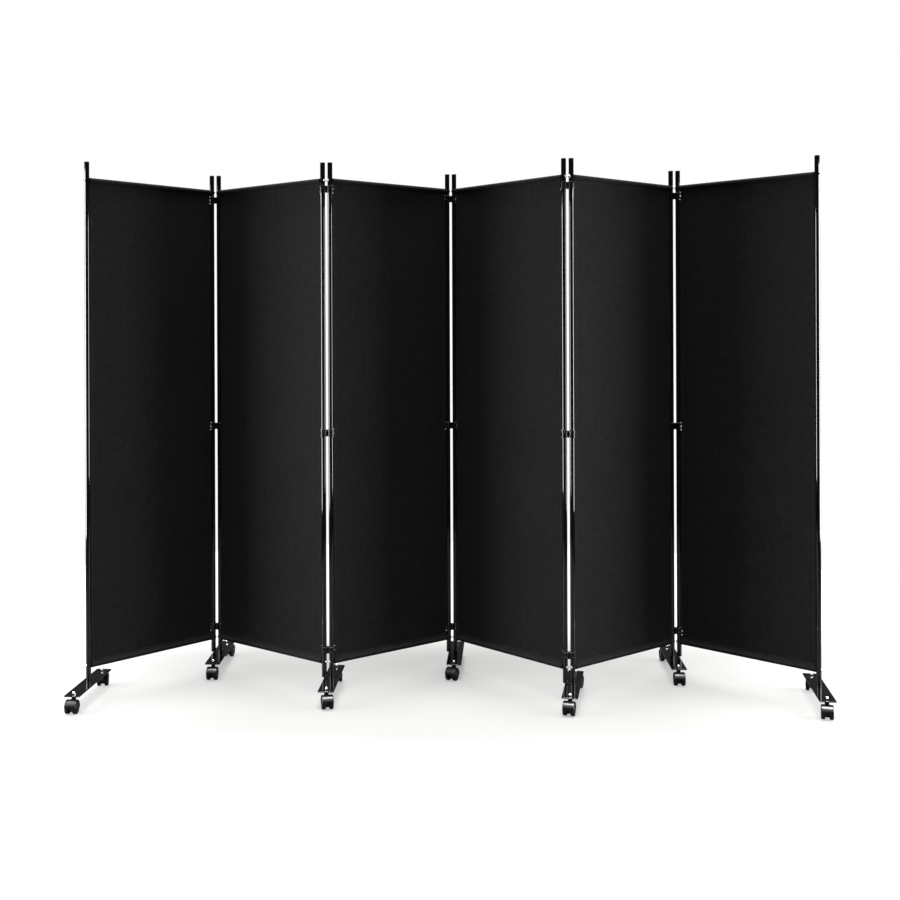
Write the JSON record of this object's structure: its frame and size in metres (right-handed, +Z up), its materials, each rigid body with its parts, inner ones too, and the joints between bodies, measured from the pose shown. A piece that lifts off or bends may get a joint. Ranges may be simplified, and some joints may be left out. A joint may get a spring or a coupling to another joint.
{
  "type": "folding room divider",
  "caption": "Folding rolling room divider: cloth panels between round steel poles, hinged by double ring clips, on swivelling bar feet with twin wheel casters.",
  "frame": {"origin": "on the floor, at the middle of the zigzag's outline", "axes": "+X along the divider, +Y to its back, where joints 1, 3 and 5 stand, +Z up"},
  "size_m": [2.4215, 0.7632, 1.737],
  "materials": {
    "pole_steel": "gloss black paint on round tube",
    "crossbar_steel": "black tube with bright zinc screws",
    "cloth": "black woven polyester cloth, matt",
    "clip_plastic": "black moulded plastic",
    "foot_steel": "gloss black paint on flat bar, bright domed nuts",
    "housing_plastic": "black moulded plastic",
    "wheel_plastic": "black hard plastic wheels"
  },
  "bodies": {
    "panel_1": {"poles_1": "pole_steel", "crossbars_1": "crossbar_steel", "fabric_1": "cloth"},
    "panel_2": {"poles_2": "pole_steel", "crossbars_2": "crossbar_steel", "fabric_2": "cloth"},
    "panel_3": {"poles_3": "pole_steel", "crossbars_3": "crossbar_steel", "fabric_3": "cloth"},
    "panel_4": {"poles_4": "pole_steel", "crossbars_4": "crossbar_steel", "fabric_4": "cloth"},
    "panel_5": {"poles_5": "pole_steel", "crossbars_5": "crossbar_steel", "fabric_5": "cloth"},
    "panel_6": {"poles_6": "pole_steel", "crossbars_6": "crossbar_steel", "fabric_6": "cloth"},
    "clips_1": {"clips_1": "clip_plastic"},
    "clips_2": {"clips_2": "clip_plastic"},
    "clips_3": {"clips_3": "clip_plastic"},
    "clips_4": {"clips_4": "clip_plastic"},
    "clips_5": {"clips_5": "clip_plastic"},
    "foot_1": {"foot_1": "foot_steel"},
    "front_caster_1": {"front_caster_1": "housing_plastic"},
    "front_wheels_1": {"front_wheels_1": "wheel_plastic"},
    "rear_caster_1": {"rear_caster_1": "housing_plastic"},
    "rear_wheels_1": {"rear_wheels_1": "wheel_plastic"},
    "foot_2": {"foot_2": "foot_steel"},
    "front_caster_2": {"front_caster_2": "housing_plastic"},
    "front_wheels_2": {"front_wheels_2": "wheel_plastic"},
    "rear_caster_2": {"rear_caster_2": "housing_plastic"},
    "rear_wheels_2": {"rear_wheels_2": "wheel_plastic"},
    "foot_3": {"foot_3": "foot_steel"},
    "front_caster_3": {"front_caster_3": "housing_plastic"},
    "front_wheels_3": {"front_wheels_3": "wheel_plastic"},
    "rear_caster_3": {"rear_caster_3": "housing_plastic"},
    "rear_wheels_3": {"rear_wheels_3": "wheel_plastic"},
    "foot_4": {"foot_4": "foot_steel"},
    "front_caster_4": {"front_caster_4": "housing_plastic"},
    "front_wheels_4": {"front_wheels_4": "wheel_plastic"},
    "rear_caster_4": {"rear_caster_4": "housing_plastic"},
    "rear_wheels_4": {"rear_wheels_4": "wheel_plastic"},
    "foot_5": {"foot_5": "foot_steel"},
    "front_caster_5": {"front_caster_5": "housing_plastic"},
    "front_wheels_5": {"front_wheels_5": "wheel_plastic"},
    "rear_caster_5": {"rear_caster_5": "housing_plastic"},
    "rear_wheels_5": {"rear_wheels_5": "wheel_plastic"},
    "foot_6": {"foot_6": "foot_steel"},
    "front_caster_6": {"front_caster_6": "housing_plastic"},
    "front_wheels_6": {"front_wheels_6": "wheel_plastic"},
    "rear_caster_6": {"rear_caster_6": "housing_plastic"},
    "rear_wheels_6": {"rear_wheels_6": "wheel_plastic"},
    "foot_7": {"foot_7": "foot_steel"},
    "front_caster_7": {"front_caster_7": "housing_plastic"},
    "front_wheels_7": {"front_wheels_7": "wheel_plastic"},
    "rear_caster_7": {"rear_caster_7": "housing_plastic"},
    "rear_wheels_7": {"rear_wheels_7": "wheel_plastic"}
  },
  "joints": [
    {"name": "joint_1_clips", "type": "hinge", "parent": "panel_2", "child": "clips_1", "pos_m": [-0.79496, 0.20815, 0.855], "axis": [0, 0, 1], "range_deg": [-42.5, 44.5]},
    {"name": "joint_1_panel", "type": "hinge", "parent": "clips_1", "child": "panel_1", "pos_m": [-0.81891, 0.20669, 0.855], "axis": [0, 0, 1], "range_deg": [-42.5, 44.5]},
    {"name": "joint_2_clips", "type": "hinge", "parent": "panel_3", "child": "clips_2", "pos_m": [-0.38238, -0.10672, 0.855], "axis": [0, 0, -1], "range_deg": [-38.5, 48.5]},
    {"name": "joint_2_panel", "type": "hinge", "parent": "clips_2", "child": "panel_2", "pos_m": [-0.40638, -0.10651, 0.855], "axis": [0, 0, -1], "range_deg": [-38.5, 48.5]},
    {"name": "joint_3_clips", "type": "hinge", "parent": "panel_3", "child": "clips_3", "pos_m": [0.01162, 0.20111, 0.855], "axis": [0, 0, -1], "range_deg": [-43, 44]},
    {"name": "joint_3_panel", "type": "hinge", "parent": "clips_3", "child": "panel_4", "pos_m": [0.03553, 0.19902, 0.855], "axis": [0, 0, -1], "range_deg": [-43, 44]},
    {"name": "joint_4_clips", "type": "hinge", "parent": "panel_4", "child": "clips_4", "pos_m": [0.3701, -0.17255, 0.855], "axis": [0, 0, 1], "range_deg": [-43.5, 43.5]},
    {"name": "joint_4_panel", "type": "hinge", "parent": "clips_4", "child": "panel_5", "pos_m": [0.39402, -0.17444, 0.855], "axis": [0, 0, 1], "range_deg": [-43.5, 43.5]},
    {"name": "joint_5_clips", "type": "hinge", "parent": "panel_5", "child": "clips_5", "pos_m": [0.78259, 0.14022, 0.855], "axis": [0, 0, -1], "range_deg": [-41.5, 45.5]},
    {"name": "joint_5_panel", "type": "hinge", "parent": "clips_5", "child": "panel_6", "pos_m": [0.80657, 0.13918, 0.855], "axis": [0, 0, -1], "range_deg": [-41.5, 45.5]},
    {"name": "foot_1_swivel", "type": "hinge", "parent": "panel_1", "child": "foot_1", "pos_m": [-1.16624, -0.15298, 0.055], "axis": [0, 0, -1], "range_deg": [-51, 39]},
    {"name": "front_caster_1_swivel", "type": "hinge", "parent": "foot_1", "child": "front_caster_1", "pos_m": [-1.17757, -0.28249, 0.052], "axis": [0, 0, 1], "continuous": true},
    {"name": "front_wheels_1_roll", "type": "hinge", "parent": "front_caster_1", "child": "front_wheels_1", "pos_m": [-1.17914, -0.30042, 0.02], "axis": [-0.9962, 0.0872, 0], "continuous": true},
    {"name": "rear_caster_1_swivel", "type": "hinge", "parent": "foot_1", "child": "rear_caster_1", "pos_m": [-1.15491, -0.02348, 0.052], "axis": [0, 0, 1], "continuous": true},
    {"name": "rear_wheels_1_roll", "type": "hinge", "parent": "rear_caster_1", "child": "rear_wheels_1", "pos_m": [-1.1571, -0.00561, 0.02], "axis": [0.9925, 0.1219, 0], "continuous": true},
    {"name": "foot_2_swivel", "type": "hinge", "parent": "panel_2", "child": "foot_2", "pos_m": [-0.79496, 0.20815, 0.055], "axis": [0, 0, 1], "range_deg": [-37, 53]},
    {"name": "front_caster_2_swivel", "type": "hinge", "parent": "foot_2", "child": "front_caster_2", "pos_m": [-0.79949, 0.07823, 0.052], "axis": [0, 0, 1], "continuous": true},
    {"name": "front_wheels_2_roll", "type": "hinge", "parent": "front_caster_2", "child": "front_wheels_2", "pos_m": [-0.80012, 0.06024, 0.02], "axis": [-0.9994, 0.0349, 0], "continuous": true},
    {"name": "rear_caster_2_swivel", "type": "hinge", "parent": "foot_2", "child": "rear_caster_2", "pos_m": [-0.79042, 0.33807, 0.052], "axis": [0, 0, 1], "continuous": true},
    {"name": "rear_wheels_2_roll", "type": "hinge", "parent": "rear_caster_2", "child": "rear_wheels_2", "pos_m": [-0.78729, 0.3558, 0.02], "axis": [0.9848, -0.1736, 0], "continuous": true},
    {"name": "foot_3_swivel", "type": "hinge", "parent": "panel_3", "child": "foot_3", "pos_m": [-0.38238, -0.10672, 0.055], "axis": [0, 0, -1], "range_deg": [-42, 48]},
    {"name": "front_caster_3_swivel", "type": "hinge", "parent": "foot_3", "child": "front_caster_3", "pos_m": [-0.39145, -0.2364, 0.052], "axis": [0, 0, 1], "continuous": true},
    {"name": "front_wheels_3_roll", "type": "hinge", "parent": "front_caster_3", "child": "front_wheels_3", "pos_m": [-0.38771, -0.25401, 0.02], "axis": [-0.9781, -0.2079, 0], "continuous": true},
    {"name": "rear_caster_3_swivel", "type": "hinge", "parent": "foot_3", "child": "rear_caster_3", "pos_m": [-0.37332, 0.02296, 0.052], "axis": [0, 0, 1], "continuous": true},
    {"name": "rear_wheels_3_roll", "type": "hinge", "parent": "rear_caster_3", "child": "rear_wheels_3", "pos_m": [-0.37394, 0.04095, 0.02], "axis": [0.9994, 0.0349, 0], "continuous": true},
    {"name": "foot_4_swivel", "type": "hinge", "parent": "panel_4", "child": "foot_4", "pos_m": [0.03553, 0.19902, 0.055], "axis": [0, 0, 1], "range_deg": [-43, 47]},
    {"name": "front_caster_4_swivel", "type": "hinge", "parent": "foot_4", "child": "front_caster_4", "pos_m": [0.0242, 0.06951, 0.052], "axis": [0, 0, 1], "continuous": true},
    {"name": "front_wheels_4_roll", "type": "hinge", "parent": "front_caster_4", "child": "front_wheels_4", "pos_m": [0.01659, 0.0532, 0.02], "axis": [-0.9063, 0.4226, 0], "continuous": true},
    {"name": "rear_caster_4_swivel", "type": "hinge", "parent": "foot_4", "child": "rear_caster_4", "pos_m": [0.04686, 0.32853, 0.052], "axis": [0, 0, 1], "continuous": true},
    {"name": "rear_wheels_4_roll", "type": "hinge", "parent": "rear_caster_4", "child": "rear_wheels_4", "pos_m": [0.04404, 0.3463, 0.02], "axis": [0.9877, 0.1564, 0], "continuous": true},
    {"name": "foot_5_swivel", "type": "hinge", "parent": "panel_5", "child": "foot_5", "pos_m": [0.39402, -0.17444, 0.055], "axis": [0, 0, -1], "range_deg": [-51, 39]},
    {"name": "front_caster_5_swivel", "type": "hinge", "parent": "foot_5", "child": "front_caster_5", "pos_m": [0.36699, -0.30159, 0.052], "axis": [0, 0, 1], "continuous": true},
    {"name": "front_wheels_5_roll", "type": "hinge", "parent": "front_caster_5", "child": "front_wheels_5", "pos_m": [0.36143, -0.31871, 0.02], "axis": [-0.9511, 0.309, 0], "continuous": true},
    {"name": "rear_caster_5_swivel", "type": "hinge", "parent": "foot_5", "child": "rear_caster_5", "pos_m": [0.42105, -0.04728, 0.052], "axis": [0, 0, 1], "continuous": true},
    {"name": "rear_wheels_5_roll", "type": "hinge", "parent": "rear_caster_5", "child": "rear_wheels_5", "pos_m": [0.42837, -0.03083, 0.02], "axis": [0.9135, -0.4067, 0], "continuous": true},
    {"name": "foot_6_swivel", "type": "hinge", "parent": "panel_5", "child": "foot_6", "pos_m": [0.78259, 0.14022, 0.055], "axis": [0, 0, -1], "range_deg": [-43, 47]},
    {"name": "front_caster_6_swivel", "type": "hinge", "parent": "foot_6", "child": "front_caster_6", "pos_m": [0.77353, 0.01054, 0.052], "axis": [0, 0, 1], "continuous": true},
    {"name": "front_wheels_6_roll", "type": "hinge", "parent": "front_caster_6", "child": "front_wheels_6", "pos_m": [0.77227, -0.00741, 0.02], "axis": [-0.9976, 0.0698, 0], "continuous": true},
    {"name": "rear_caster_6_swivel", "type": "hinge", "parent": "foot_6", "child": "rear_caster_6", "pos_m": [0.79166, 0.26991, 0.052], "axis": [0, 0, 1], "continuous": true},
    {"name": "rear_wheels_6_roll", "type": "hinge", "parent": "rear_caster_6", "child": "rear_wheels_6", "pos_m": [0.79041, 0.28786, 0.02], "axis": [0.9976, 0.0698, 0], "continuous": true},
    {"name": "foot_7_swivel", "type": "hinge", "parent": "panel_6", "child": "foot_7", "pos_m": [1.16624, -0.20815, 0.055], "axis": [0, 0, 1], "range_deg": [-35, 55]},
    {"name": "front_caster_7_swivel", "type": "hinge", "parent": "foot_7", "child": "front_caster_7", "pos_m": [1.1459, -0.33655, 0.052], "axis": [0, 0, 1], "continuous": true},
    {"name": "front_wheels_7_roll", "type": "hinge", "parent": "front_caster_7", "child": "front_wheels_7", "pos_m": [1.14064, -0.35376, 0.02], "axis": [-0.9563, 0.2924, 0], "continuous": true},
    {"name": "rear_caster_7_swivel", "type": "hinge", "parent": "foot_7", "child": "rear_caster_7", "pos_m": [1.18658, -0.07975, 0.052], "axis": [0, 0, 1], "continuous": true},
    {"name": "rear_wheels_7_roll", "type": "hinge", "parent": "rear_caster_7", "child": "rear_wheels_7", "pos_m": [1.19244, -0.06273, 0.02], "axis": [0.9455, -0.3256, 0], "continuous": true}
  ]
}
